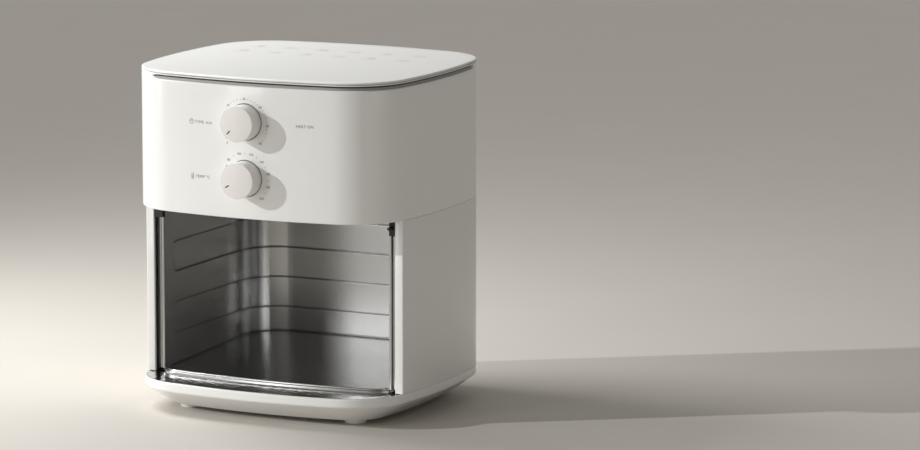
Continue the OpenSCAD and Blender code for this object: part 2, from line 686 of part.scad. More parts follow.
top_cover();
cover_frame();
intake_ring();
cover_screws();
upper_housing();
underside_panel();
lower_housing();
rear_vent_cover();
vent_screws();
cord_gland();
base_tray();
base_grilles();
feet();
foot_screws();
sill_plate();
cavity_liner();
cavity_roof();
opening_frame();
heat_shield();
floor_insulation();
interlock_plunger();
plunger_spring();
switch_carrier();
interlock_switch();
switch_button();
chassis_plate();
housing_screws();
heater_pan();
heating_element();
element_clips();
convection_fan();
fan_nut();
motor_shaft();
motor_rotor();
motor_stator();
motor_coil();
lower_end_bell();
upper_end_bell();
lower_bearing();
upper_bearing();
motor_bolts();
cooling_fan();
motor_mount();
mount_screws();
exhaust_duct();
control_bracket();
bracket_screws();
timer_module();
timer_bell();
timer_shaft();
time_knob();
thermostat_body();
thermostat_shaft();
temp_knob();
shaft_nuts();
sensor_bulb();
capillary_tube();
indicator_lamp();
thermal_fuse();
terminal_block();
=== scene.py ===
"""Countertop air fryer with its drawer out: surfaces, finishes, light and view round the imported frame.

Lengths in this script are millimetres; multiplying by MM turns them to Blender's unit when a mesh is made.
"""
import json

import bmesh
import bpy
import numpy as np
from mathutils import Matrix, Vector


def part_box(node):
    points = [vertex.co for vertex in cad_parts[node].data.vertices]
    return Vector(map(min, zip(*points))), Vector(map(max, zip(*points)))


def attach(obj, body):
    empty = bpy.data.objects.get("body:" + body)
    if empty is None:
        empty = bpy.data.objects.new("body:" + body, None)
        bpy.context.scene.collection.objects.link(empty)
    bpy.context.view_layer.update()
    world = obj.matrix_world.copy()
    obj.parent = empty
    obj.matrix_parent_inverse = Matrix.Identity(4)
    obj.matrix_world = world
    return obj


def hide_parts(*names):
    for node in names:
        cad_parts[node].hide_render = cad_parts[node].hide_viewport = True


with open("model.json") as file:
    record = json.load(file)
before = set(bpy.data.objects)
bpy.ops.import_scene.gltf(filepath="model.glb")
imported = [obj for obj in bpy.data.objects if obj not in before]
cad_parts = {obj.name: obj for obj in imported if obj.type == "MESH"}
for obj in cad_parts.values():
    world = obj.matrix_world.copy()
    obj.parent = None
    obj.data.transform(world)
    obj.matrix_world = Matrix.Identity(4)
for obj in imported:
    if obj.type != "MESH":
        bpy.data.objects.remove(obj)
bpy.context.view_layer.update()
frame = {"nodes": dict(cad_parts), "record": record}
MM = 0.001
SIGNS = (-1, 1)


def cad(node):
    """Lowest and highest corner of a CAD node in millimetres."""
    return tuple(np.array(corner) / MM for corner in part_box(node))


# ---------------------------------------------------------------- driving sizes
CORNER_R = 56.5          # upright corners of the body
BOW_R = 514.0            # slight bow of its four faces
FLOOR_RISE = 6.7         # how far the liner's floor climbs from the mouth to the back wall
SLOT_DEPTH = 12.0        # depth of the air slots in the upper casing
SLOT_BAND_IN = 9.6       # depth of the dark band in a slot
TAPER = 5.0              # reach of a slot's front left or rear right tip, in multiples of its radius
SKIN = 2.6               # thickness of the casing's skin
DECK_IN = 26.0           # how far the deck under the lid reaches in
GROOVE_IN = 2.5          # depth of the parting groove under the lid
CHAMFER_IN = 24.0        # how far the base's chamfer leans in at its foot
CHAMFER_TOP = 20.8       # height at which it meets the side
JAMB_X = 121.5           # inner edge of the jambs beside the mouth
KNOB_GAP_DEEP = 1.4      # depth of the recess round a knob
HALF_W, HALF_D = cad("cover_frame")[1][:2]
SEAM_Z = cad("upper_housing")[0][2]
LID_LOW, LID_TOP = cad("cover_frame")[1][2], cad("top_cover")[1][2] - 0.04
SLOT_LOW, SLOT_HIGH = cad("intake_ring")[0][2], cad("intake_ring")[1][2]
GROOVE_LOW = SLOT_HIGH + 0.9
BASE_LOW, BASE_TOP = cad("base_tray")[0][2], cad("base_tray")[1][2]
JAMB_Y = cad("lower_housing")[0][1]
LINER_LOW, LINER_HIGH = cad("cavity_liner")
FLOOR_Z = LINER_LOW[2] + 2.3
TIME_Z = (cad("time_knob")[0][2] + cad("time_knob")[1][2]) / 2
TEMP_Z = (cad("temp_knob")[0][2] + cad("temp_knob")[1][2]) / 2
KNOB_R = (cad("time_knob")[1][0] - cad("time_knob")[0][0]) / 2
KNOB_GAP_R = KNOB_R + 0.6             # bore of the recess round a knob
COLLAR_R = KNOB_GAP_R + 1.6           # outer radius of the ring that lines it
KNOB_EDGE = 0.4                       # width of the edge round a knob's face disc
KNOB_BACK, KNOB_FRONT = cad("time_knob")[1][1], cad("time_knob")[0][1]


# ---------------------------------------------------------------- paths in plan
def body_arcs():
    """The body's outline as tangent arcs: back, rear left, left, front left, front, and so on round.

    Each row is centre x, centre y, radius, first and last angle. A bow's centre lies BOW_R behind its
    face, and a corner's centre lies BOW_R - CORNER_R from the centres of the two bows that it joins.
    """
    reach = BOW_R - CORNER_R
    cx, cy = BOW_R - HALF_W, BOW_R - HALF_D
    half = np.hypot(cx, cy) / 2
    rise = np.sqrt(reach ** 2 - half ** 2)
    x = -cx / 2 + rise * cy / (2 * half)
    y = -cy / 2 + rise * cx / (2 * half)
    side, back = np.arctan2(y, x + cx), np.arctan2(y + cy, x)
    pi = np.pi
    return np.array([
        [0, -cy, BOW_R, pi / 2, pi - back], [-x, y, CORNER_R, pi - back, pi - side],
        [cx, 0, BOW_R, pi - side, pi + side], [-x, -y, CORNER_R, pi + side, pi + back],
        [0, cy, BOW_R, pi + back, 2 * pi - back], [x, -y, CORNER_R, 2 * pi - back, 2 * pi - side],
        [-cx, 0, BOW_R, 2 * pi - side, 2 * pi + side], [x, y, CORNER_R, 2 * pi + side, 2 * pi + back],
        [0, -cy, BOW_R, 2 * pi + back, 2.5 * pi]])


ARCS = body_arcs()
ARC_ENDS = np.cumsum(ARCS[:, 2] * (ARCS[:, 4] - ARCS[:, 3]))
ROUND = ARC_ENDS[-1]     # length of the outline; the middle of the front is at half of it


def outline(s):
    """Points and outward normals on the body's outline at distances s from the middle of the back."""
    s = np.mod(s, ROUND)
    k = np.minimum(np.searchsorted(ARC_ENDS, s, side="right"), len(ARCS) - 1)
    begin = np.concatenate([[0], ARC_ENDS])[k]
    cx, cy, r, first = ARCS[k, 0], ARCS[k, 1], ARCS[k, 2], ARCS[k, 3]
    angle = first + (s - begin) / r
    normal = np.stack([np.cos(angle), np.sin(angle)], -1)
    return np.stack([cx, cy], -1) + r[..., None] * normal, normal


def on_body(s, inset, z):
    """Points at distance s round the outline, inset mm inside it, at height z, with numpy broadcasting."""
    s, inset, z = np.broadcast_arrays(*(np.asarray(v, float) for v in (s, inset, z)))
    p, n = outline(s)
    flat = p - inset[..., None] * n
    return np.concatenate([flat, z[..., None]], -1)


def distance_at(x, y):
    """Distance round the outline of the point nearest to (x, y)."""
    s = np.linspace(0, ROUND, 20001)
    return s[np.argmin(np.hypot(*(outline(s)[0] - [x, y]).T))]


def rounded(corners, steps=6):
    """A polyline through (x, y, r) corners, each rounded by an arc of radius r tangent to both sides."""
    out = []
    for i, (x, y, r) in enumerate(corners):
        p = np.array([x, y], float)
        if r == 0 or i in (0, len(corners) - 1):
            out.append(p[None])
            continue
        a = np.array(corners[i - 1][:2]) - p
        b = np.array(corners[i + 1][:2]) - p
        a, b = a / np.linalg.norm(a), b / np.linalg.norm(b)
        half = np.arccos(np.clip(a @ b, -1, 1)) / 2
        centre = p + (a + b) / np.linalg.norm(a + b) * r / np.sin(half)
        start, end = p + a * r / np.tan(half), p + b * r / np.tan(half)
        t = np.linspace(0, 1, steps + 1)[:, None]
        turn = np.pi - 2 * half
        u, v = start - centre, end - centre
        out.append(centre + (np.sin((1 - t) * turn) * u + np.sin(t * turn) * v) / np.sin(turn))
    return np.concatenate(out)


def along(line, s):
    """Points and left-hand normals of a polyline at distances s, by linear interpolation."""
    steps = np.hypot(*np.diff(line, axis=0).T)
    d = np.concatenate([[0], np.cumsum(steps)])
    p = np.stack([np.interp(s, d, line[:, 0]), np.interp(s, d, line[:, 1])], -1)
    t = np.gradient(p, axis=0)
    t /= np.linalg.norm(t, axis=-1, keepdims=True)
    return p, np.stack([-t[:, 1], t[:, 0]], -1)


def length(line):
    return np.hypot(*np.diff(line, axis=0).T).sum()


# ---------------------------------------------------------------- meshes
def grid(points, wrap_u=False, wrap_v=False):
    """(vertices, quads) of a grid of points with shape (u, v, 3)."""
    nu, nv = points.shape[:2]
    index = np.arange(nu * nv).reshape(nu, nv)
    if wrap_u:
        index = np.concatenate([index, index[:1]], 0)
    if wrap_v:
        index = np.concatenate([index, index[:, :1]], 1)
    quads = np.stack([index[:-1, :-1], index[1:, :-1], index[1:, 1:], index[:-1, 1:]], -1)
    return points.reshape(-1, 3), quads.reshape(-1, 4)


def piece(name, parts, finish, body="body", nodes=(), crease=35, fill=False):
    """Joins (vertices, quads) parts into one object on the frame.

    Doubles are merged, faces turned outwards, and edges sharper than crease degrees stay sharp. With fill,
    open rims are closed.
    """
    counts = np.cumsum([0] + [len(v) for v, _ in parts])
    verts = np.concatenate([v for v, _ in parts]) * MM
    faces = np.concatenate([f + c for (_, f), c in zip(parts, counts)])
    mesh = bpy.data.meshes.new(name)
    mesh.vertices.add(len(verts))
    mesh.vertices.foreach_set("co", verts.astype(np.float32).ravel())
    mesh.loops.add(faces.size)
    mesh.loops.foreach_set("vertex_index", faces.astype(np.int32).ravel())
    mesh.polygons.add(len(faces))
    mesh.polygons.foreach_set("loop_start", np.arange(0, faces.size, 4, dtype=np.int32))
    mesh.update(calc_edges=True)
    bm = bmesh.new()
    bm.from_mesh(mesh)
    bmesh.ops.remove_doubles(bm, verts=bm.verts, dist=2e-6)
    bmesh.ops.dissolve_degenerate(bm, edges=bm.edges, dist=1e-6)
    if fill:
        bmesh.ops.holes_fill(bm, edges=[e for e in bm.edges if e.is_boundary], sides=0)
    bmesh.ops.recalc_face_normals(bm, faces=bm.faces)
    bm.to_mesh(mesh)
    bm.free()
    settle(bpy.data.objects.new(name, mesh), finish, body, nodes, crease)


def settle(obj, finish, body="body", nodes=(), crease=35):
    """Links the object, gives it its finish, hangs it on its body and hides the CAD nodes that it stands in
    for.
    """
    bpy.context.scene.collection.objects.link(obj)
    mesh = obj.data
    mesh.polygons.foreach_set("use_smooth", np.ones(len(mesh.polygons), bool))
    mesh.set_sharp_from_angle(angle=np.radians(crease))
    mesh.materials.clear()
    mesh.materials.append(finish)
    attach(obj, body)
    if nodes:
        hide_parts(*nodes)


def swept(s, profile, close=True):
    """A profile of (inset, z) points carried round the body's outline at distances s."""
    return grid(on_body(s[:, None], profile[None, :, 0], profile[None, :, 1]), wrap_u=close)


def cap(s, inset, z, rings=8):
    """A flat lid: the outline at that inset, drawn in to the middle in equal steps."""
    rim = on_body(s, inset, z)
    k = np.linspace(1, 0, rings)[None, :, None]
    flat = rim[:, None] * k
    flat[..., 2] = z
    return grid(flat, wrap_u=True)


def revolved(profile, centre, axis, steps=96):
    """A profile of (radius, height) points turned about an axis, 'y' pointing to the front or 'z' up."""
    a = np.linspace(0, 2 * np.pi, steps, endpoint=False)[:, None]
    r, h = profile[None, :, 0], profile[None, :, 1]
    ring, rise = (r * np.cos(a), r * np.sin(a)), np.broadcast_to(h, (steps, len(profile)))
    order = (ring[0], -rise, ring[1]) if axis == "y" else (ring[0], ring[1], rise)
    return grid(np.stack(order, -1) + np.asarray(centre, float), wrap_u=True)


def smooth(x):
    """0 below 0, 1 above 1, and a smooth step between."""
    x = np.clip(x, 0, 1)
    return x * x * (3 - 2 * x)


# ---------------------------------------------------------------- finishes
def linear(code):
    """An sRGB hex colour as linear red, green, blue and 1."""
    c = np.array([int(code[i:i + 2], 16) for i in (1, 3, 5)]) / 255
    return (*np.where(c <= 0.04045, c / 12.92, ((c + 0.055) / 1.055) ** 2.4), 1.0)


def add(tree, kind, sources=None, **settings):
    """Adds a shader node, sets its sockets or properties by name, and links its sources.

    Sources are given as {socket: (node, output)}.
    """
    node = tree.nodes.new("ShaderNode" + kind)
    for key, value in settings.items():
        name = key.replace("_", " ")
        if name in node.inputs:
            node.inputs[name].default_value = value
        else:
            setattr(node, key, value)
    for socket, (other, output) in (sources or {}).items():
        tree.links.new(other.outputs[output], node.inputs[socket])
    return node


def per_mm(size):
    """Texture scale, on coordinates in metres, of a pattern whose grain is size mm."""
    return 1 / (size * MM)


def finish(name, colour, rough, rough_swing, grain, bump, metallic=0.0, tint=0.03, stretch=(1, 1, 1),
           **surface):
    """A surface with gloss and height variation of the given grain in mm and bump in mm.

    Its colour drifts by the share tint over patches forty grains wide.
    """
    mat = bpy.data.materials.new(name)
    mat.use_nodes = True
    tree = mat.node_tree
    tree.nodes.clear()
    where = add(tree, "TexCoord")
    laid = add(tree, "Mapping", {"Vector": (where, "Object")}, Scale=stretch)
    fine = add(tree, "TexNoise", {"Vector": (laid, "Vector")}, Scale=per_mm(grain), Detail=4.0,
               Roughness=0.6)
    broad = add(tree, "TexNoise", {"Vector": (laid, "Vector")}, Scale=per_mm(grain * 40), Detail=2.0)
    shade = np.array(linear(colour))
    ramp = add(tree, "ValToRGB", {"Fac": (broad, "Fac")})
    ramp.color_ramp.elements[0].color = (*(shade[:3] * (1 - tint)), 1)
    ramp.color_ramp.elements[1].color = (*np.minimum(shade[:3] * (1 + tint), 1), 1)
    gloss = add(tree, "MapRange", {"Value": (fine, "Fac")}, To_Min=max(rough - rough_swing, 0.02),
                To_Max=rough + rough_swing)
    raised = add(tree, "Bump", {"Height": (fine, "Fac")}, Strength=1.0, Distance=bump * MM)
    skin = add(tree, "BsdfPrincipled", {"Base Color": (ramp, "Color"), "Roughness": (gloss, "Result"),
                                        "Normal": (raised, "Normal")}, Metallic=metallic)
    for socket, value in surface.items():
        skin.inputs[socket.replace("_", " ")].default_value = value
    out = add(tree, "OutputMaterial", {"Surface": (skin, "BSDF")})
    out.target = "ALL"
    return mat


# Injection-moulded ABS in a satin gloss: smooth, bright, with a faint orange peel.
SHELL = finish("abs_shell_white", "#F0F0EE", 0.3, 0.04, 0.8, 0.003, tint=0.01, Coat_Weight=0.6,
               Coat_Roughness=0.06)
# The same ABS with a finer satin for the knobs.
KNOB = finish("abs_knob_white", "#F0EFEB", 0.32, 0.05, 0.5, 0.004, tint=0.01)
# Brushed face disc of the knobs, a shade greyer than their flanks.
KNOB_FACE = finish("abs_knob_face", "#ECE9E5", 0.42, 0.06, 0.3, 0.006, tint=0.012)
# Glass-filled nylon, dull black with a fine spark texture; on the discs in the knob recesses its black is
# painted shade.
NYLON_AND_GAP_SHADE = finish("nylon_black_and_gap_shade", "#151515", 0.5, 0.1, 0.5, 0.02, tint=0.15)
# Painted shade: near black for the slotted band deep in the air slot and the sheet behind the base grilles.
SHADE_BLACK = finish("painted_shade_black", "#141414", 0.6, 0.1, 0.5, 0.02, tint=0.15)
# Painted shade: grey step along the foot of the slot, white casing coloured as it looks in the slot's shade.
SHADE_GREY = finish("painted_shade_grey", "#9F9D99", 0.45, 0.08, 0.5, 0.01, tint=0.06)
# Polypropylene grilles in the base.
GRILLE = finish("polypropylene_grey", "#C9C7C1", 0.4, 0.08, 0.6, 0.01, tint=0.04)
# Pressed stainless sheet, mill bright: clear but soft reflections and a fine grain.
LINER = finish("stainless_sheet_bright", "#B6B6B5", 0.24, 0.04, 0.7, 0.006, metallic=1.0, tint=0.04)
# Polished stainless strip: near a mirror, with slow waves from the press.
SILL = finish("stainless_polished", "#DEDDDA", 0.07, 0.03, 11.0, 0.4, metallic=1.0, tint=0.03)
# Parts inside the casing: plated and coated sheet, ground shafts, motor iron and wire, and insulation.
ZINC = finish("steel_zinc_plated", "#A9ADB0", 0.35, 0.08, 0.6, 0.01, metallic=1.0, tint=0.06)
ALUMINISED = finish("steel_aluminised", "#B4B4B2", 0.38, 0.08, 1.2, 0.015, metallic=1.0, tint=0.08)
OXIDE = finish("stainless_oxidised", "#4A4542", 0.45, 0.1, 0.8, 0.01, metallic=1.0, tint=0.12)
GROUND = finish("steel_ground", "#C4C4C4", 0.2, 0.05, 0.3, 0.004, metallic=1.0, tint=0.03)
LAMINATE = finish("iron_laminations", "#6A6A6C", 0.5, 0.1, 0.5, 0.05, metallic=1.0, tint=0.1,
                  stretch=(0.05, 0.05, 1))
COPPER = finish("copper_enamelled", "#B4602F", 0.3, 0.1, 0.35, 0.05, metallic=1.0, tint=0.1,
                stretch=(0.05, 1, 1))
BRONZE = finish("bronze_sintered", "#A87B45", 0.5, 0.1, 0.3, 0.02, metallic=1.0, tint=0.1)
FOIL = finish("aluminium_foil_sheet", "#C9C9C8", 0.3, 0.08, 4.0, 0.1, metallic=1.0, tint=0.04)
CERAMIC = finish("ceramic_steatite", "#E6E1D5", 0.5, 0.1, 0.6, 0.01, tint=0.03)
FELT = finish("felt_glass_fibre", "#D9D4C6", 0.95, 0.05, 0.4, 0.3, tint=0.1)
ACETAL = finish("acetal_red", "#A81C18", 0.35, 0.05, 0.5, 0.005, tint=0.03)
LENS = finish("lamp_amber", "#E08A2E", 0.1, 0.03, 1.0, 0.002, tint=0.05, Transmission_Weight=0.6)
# Screen-printed ink on the panel and, paler, on the lid.
INK = finish("ink_dark_grey", "#4A4743", 0.5, 0.08, 0.3, 0.001, tint=0.06)
PALE_INK = finish("ink_pale_grey", "#AAA8A3", 0.45, 0.08, 0.3, 0.001, tint=0.04)
SLOT_FINISH = {
    "white_shell": SHELL, "knob_white": KNOB, "black_plastic": NYLON_AND_GAP_SHADE, "grille_grey": GRILLE,
    "liner_steel": LINER, "sill_steel": SILL, "zinc_steel": ZINC, "pan_steel": ALUMINISED,
    "element_steel": OXIDE, "shaft_steel": GROUND, "laminated_iron": LAMINATE, "copper": COPPER,
    "bronze": BRONZE, "fan_aluminium": ALUMINISED, "foil": FOIL, "ceramic_white": CERAMIC, "fibre": FELT,
    "switch_red": ACETAL, "lamp_amber": LENS}


def dress_cad():
    """Gives every CAD node the finish of its material slot."""
    for sub in frame["record"]["subparts"]:
        node = frame["nodes"][sub["node"]]
        node.data.materials.clear()
        node.data.materials.append(SLOT_FINISH[sub["material_slot"]])


# ---------------------------------------------------------------- upper casing
slot_start = distance_at(-99, -112)
slot_end = distance_at(130, 70)
KNOB_ZONE = 19.0         # half width of the finely meshed square behind a knob
FRONT_S = ROUND / 2      # distance round the outline of the middle of the front
STEP = 4.0               # coarse mesh step along the outline
HALF_TURN = np.linspace(np.pi / 2, -np.pi / 2, 13)   # angles round a slot's end, from its top to its foot
slot_r = (SLOT_HIGH - SLOT_LOW) / 2
slot_z = (SLOT_HIGH + SLOT_LOW) / 2
# the second slot lies half way round from the first, and a bridge of casing lies between them
SLOTS = [(slot_start, slot_end), (slot_start + ROUND / 2, slot_end + ROUND / 2)]
BRIDGES = [(slot_end, slot_start + ROUND / 2), (slot_end + ROUND / 2, slot_start + ROUND)]


def spaced(a, b, step):
    """Even distances from a to b, both kept, no further apart than step."""
    return np.linspace(a, b, max(int(np.ceil((b - a) / step)), 1) + 1)


def slot_stations(a, b):
    """Distances along a slot's straight part, close together where a knob stands."""
    a, b = a + slot_r * TAPER, b - slot_r
    if not a < FRONT_S < b:
        return spaced(a, b, STEP)
    near = spaced(FRONT_S - KNOB_ZONE, FRONT_S + KNOB_ZONE, 0.5)
    return np.concatenate([spaced(a, near[0], STEP)[:-1], near, spaced(near[-1], b, STEP)[1:]])


def lip_width(rise):
    """Radius of a slot's rounded rim, wide on its lower edge (rise -1) and narrow on its upper (rise 1)."""
    return 0.8 - 0.4 * rise


def slot_well(a, b):
    """The slot as a stadium in distance and height, whose rim rolls in and whose wall goes in to SLOT_DEPTH.

    Round the stadium, a point is (s, z) = core + slot_r * (ds, dz) with unit normal (ds, dz). The rim adds
    lip * (1 - sin f) outwards and lip * (1 - cos f) inwards for f from 0 to 90 degrees.
    """
    flat = slot_stations(a, b)
    turn = HALF_TURN[1:-1]
    core = np.concatenate([flat, np.full(len(turn), flat[-1]), flat[::-1], np.full(len(turn), flat[0])])
    ds = np.concatenate([0 * flat, np.cos(turn), 0 * flat, -np.cos(turn)])
    dz = np.concatenate([0 * flat + 1, np.sin(turn), 0 * flat - 1, -np.sin(turn)])
    lip = lip_width(dz)[:, None]
    f = np.linspace(0, np.pi / 2, 6)[None]
    out = np.concatenate([lip * (1 - np.sin(f)), np.zeros((len(core), 3))], 1)
    deep = np.concatenate([lip * (1 - np.cos(f)), np.tile([3.0, 7.0, SLOT_DEPTH], (len(core), 1))], 1)
    stretch = np.where(ds < 0, TAPER, 1.0)[:, None]
    s = core[:, None] + (slot_r + out) * ds[:, None] * stretch
    z = slot_z + (slot_r + out) * dz[:, None]
    well = grid(on_body(s, deep, z), wrap_u=True)
    n = len(flat)
    k = np.linspace(0, 1, 3)[None]
    top, low = on_body(flat, SLOT_DEPTH, slot_z + slot_r), on_body(flat, SLOT_DEPTH, slot_z - slot_r)
    back = grid(top[:, None] * (1 - k[..., None]) + low[:, None] * k[..., None])
    ends = []
    for end, side in ((flat[-1], 1), (flat[0], -TAPER)):
        angle = HALF_TURN[:, None]
        ends.append(grid(on_body(end + side * slot_r * np.cos(angle) * k, SLOT_DEPTH,
                                 slot_z + slot_r * np.sin(angle))))
    return [well, back] + ends


def bridge_stations(a, b):
    """Distances along a bridge, from one slot's round end to the next slot's drawn out tip."""
    return spaced(a - slot_r, b + slot_r * TAPER, STEP)


def bridge(a, b):
    """The casing between two slots: rows at the heights of the slots' round ends, from end to end."""
    lip = lip_width(np.sin(HALF_TURN))
    z = slot_z + (slot_r + lip) * np.sin(HALF_TURN)
    first = a - slot_r + (slot_r + lip) * np.cos(HALF_TURN)
    last = b + slot_r * TAPER - (slot_r + lip) * np.cos(HALF_TURN) * TAPER
    flat = bridge_stations(a, b)
    k = (flat - flat[0]) / (flat[-1] - flat[0])
    s = first[:, None] + (last - first)[:, None] * k[None]
    return grid(on_body(s, 0.0, z[:, None]))


def loop_stations():
    """Distances all round, that meet those of the slots and the bridges."""
    runs = [slot_stations(*SLOTS[0]), bridge_stations(*BRIDGES[0]),
            slot_stations(*SLOTS[1]), bridge_stations(*BRIDGES[1])]
    return np.concatenate([run[:-1] for run in runs])


LOOP = loop_stations()


def knob_recess(points):
    """Presses a round step of KNOB_GAP_DEEP into the front at each knob, with a half millimetre edge."""
    for z in (TIME_Z, TEMP_Z):
        r = np.hypot(points[..., 0], points[..., 2] - z)
        front = points[..., 1] < 0
        points[..., 1] += np.where(front, KNOB_GAP_DEEP * smooth((COLLAR_R - 0.4 - r) / 0.5), 0)
    return points


def upper_casing():
    """The skin with its knob recesses, slot wells and bridges, its foot at the seam and its inside."""
    low_rim = SLOT_LOW - lip_width(-1)
    high_rim = SLOT_HIGH + lip_width(1)
    heights = np.concatenate([[SEAM_Z + 0.8, SEAM_Z + 6], spaced(SEAM_Z + 12, TEMP_Z - KNOB_ZONE, 8)[:-1],
                              spaced(TEMP_Z - KNOB_ZONE, TEMP_Z + KNOB_ZONE, 0.5)[:-1],
                              spaced(TEMP_Z + KNOB_ZONE, TIME_Z - KNOB_ZONE, 5)[:-1],
                              spaced(TIME_Z - KNOB_ZONE, TIME_Z + KNOB_ZONE, 0.5)[:-1],
                              spaced(TIME_Z + KNOB_ZONE, low_rim, 6)])
    wall = grid(knob_recess(on_body(LOOP[:, None], 0.0, heights[None])), wrap_u=True)
    foot = rounded([(0, SEAM_Z + 0.8, 0), (0, SEAM_Z, 0.7), (SKIN, SEAM_Z, 0.4), (SKIN, SEAM_Z + 20, 0)], 4)
    inside = rounded([(SKIN, SEAM_Z + 20, 0), (SKIN, SLOT_LOW - 2.5, 0), (DECK_IN, SLOT_LOW - 2.5, 0),
                      (DECK_IN, GROOVE_LOW, 0), (GROOVE_IN, GROOVE_LOW, 0)])
    crown = rounded([(0, high_rim, 0), (0, GROOVE_LOW, 0.35), (GROOVE_IN, GROOVE_LOW, 0)], 4)
    parts = [wall, swept(LOOP, foot), swept(LOOP, inside), swept(LOOP, crown)]
    for run in SLOTS:
        parts += slot_well(*run)
    for run in BRIDGES:
        parts.append(bridge(*run))
    piece("upper_casing", parts, SHELL, nodes=["upper_housing"])


def slot_shade_bands():
    """The band and the ledge in each slot, coloured as painted shade: a near black band and a grey ledge.

    The dark band has upright slits: a ribbon whose face steps in by a millimetre at each slit. The grey
    ledge lines the slot's foot.
    """
    parts = []
    for a, b in SLOTS:
        s = spaced(a + 1.2, b - 1.2, 0.8)
        slit = (np.arange(len(s)) // 3 % 2)[:, None] * 1.0
        section = np.array([[0, -1.7], [0, 1.7], [1.4, 1.7], [1.4, -1.7]])
        inset = SLOT_BAND_IN + section[None, :, 0] + slit * (section[None, :, 0] == 0)
        parts.append(grid(on_body(s[:, None], inset, slot_z + section[None, :, 1]), wrap_v=True))
    # painted shade: the near black band stands in for the shade deep in the slot
    piece("slot_shade_bands", parts, SHADE_BLACK, nodes=["intake_ring"], fill=True)
    step = rounded([(1.9, SLOT_LOW + 0.02, 0), (2.2, SLOT_LOW + 2.2, 0.4), (9.0, SLOT_LOW + 2.4, 0.3),
                    (9.0, SLOT_LOW + 0.02, 0)], 4)
    shade_ledges = []
    for a, b in SLOTS:
        s = spaced(a + 1.2, b - 1.2, 2.0)[:, None]
        shade_ledges.append(grid(on_body(s, step[None, :, 0], step[None, :, 1]), wrap_v=True))
    # painted shade: the grey ledge stands in for white casing in the slot's shade
    piece("slot_shade_ledges", shade_ledges, SHADE_GREY, fill=True)


def lid():
    """Plate with a soft upper edge over a parting groove, closed underneath."""
    rim = rounded([(10, LID_TOP, 0), (0, LID_TOP, 1.1), (0, LID_LOW - 0.1, 0.35),
                   (GROOVE_IN, LID_LOW - 0.1, 0), (GROOVE_IN, LID_LOW, 0), (10, LID_LOW, 0)], 6)
    piece("lid_plate", [swept(LOOP, rim), cap(LOOP, 10, LID_TOP), cap(LOOP, 10, LID_LOW)], SHELL,
          nodes=["top_cover"])
    neck = rounded([(2.4, LID_LOW + 0.05, 0), (2.4, GROOVE_LOW - 0.05, 0), (20, GROOVE_LOW - 0.05, 0),
                    (20, LID_LOW + 0.05, 0), (2.4, LID_LOW + 0.05, 0)])
    piece("lid_frame", [swept(LOOP, neck)], SHELL, nodes=["cover_frame"])


# ---------------------------------------------------------------- lower casing and base
def jamb_s():
    """Distance round the outline where the lower casing ends at the left jamb; the right one mirrors it."""
    s = np.linspace(0, ROUND / 2, 20001)
    p, _ = outline(s)
    side = p[:, 0] < -HALF_W / 2
    return s[side][np.argmin(np.abs(p[side, 1] - JAMB_Y))]


def lower_casing():
    """A closed plan line, out along the skin and back inside with a return at each jamb, drawn up in z."""
    end = jamb_s()
    s = spaced(-end, end, STEP)
    outer = outline(s)[0]
    lining = on_body(s, SKIN, 0.0)[:, :2][::-1]
    lining = lining[lining[:, 1] > JAMB_Y + SKIN]
    left = rounded([(*outer[-2], 0), (outer[-1][0], JAMB_Y, 1.0), (-JAMB_X, JAMB_Y, 0.8),
                    (-JAMB_X, JAMB_Y + 2.4, 0.6), (*lining[0], 0)], 5)[1:-1]
    right = left[::-1] * [-1, 1]
    plan = np.concatenate([outer[1:-1], left, lining, right])
    edge = np.roll(plan, -1, 0) - np.roll(plan, 1, 0)
    normal = np.stack([edge[:, 1], -edge[:, 0]], -1) / np.linalg.norm(edge, axis=1, keepdims=True)
    rise = rounded([(0.5, BASE_TOP + 0.02, 0), (0, BASE_TOP + 0.02, 0.3), (0, SEAM_Z - 0.05, 0.3),
                    (0.5, SEAM_Z - 0.05, 0)], 3)
    flat = plan[:, None] - rise[None, :, :1] * normal[:, None]
    tall = np.broadcast_to(rise[None, :, 1:], flat.shape[:2] + (1,))
    piece("lower_casing", [grid(np.concatenate([flat, tall], -1), wrap_u=True)], SHELL,
          nodes=["lower_housing"], fill=True)


def base():
    """The pan: a flat bottom, a broad chamfer up to the side, a rim, and a floor just below the rim."""
    s = spaced(0, ROUND, STEP)[:-1]
    rim = rounded([(34, BASE_LOW, 0), (CHAMFER_IN, BASE_LOW, 2.0), (0, CHAMFER_TOP, 3.0), (0, BASE_TOP, 1.1),
                   (2.1, BASE_TOP, 0.5), (2.1, BASE_TOP - 1.2, 0), (14, BASE_TOP - 1.2, 0)], 7)
    piece("base_pan", [swept(s, rim), cap(s, 34, BASE_LOW), cap(s, 14, BASE_TOP - 1.2)], SHELL,
          nodes=["base_tray"])


VENT_SHIFT = 16.0        # how far behind the flank's middle a grille's middle lies
VENT_LENGTH = 152.0      # its length along the flank
VENT_HALF = 6.0          # half its height, measured along the slope
VENT_RISE = 0.5          # how far up the slope its middle lies, as a share
VENT_SLATS = 32


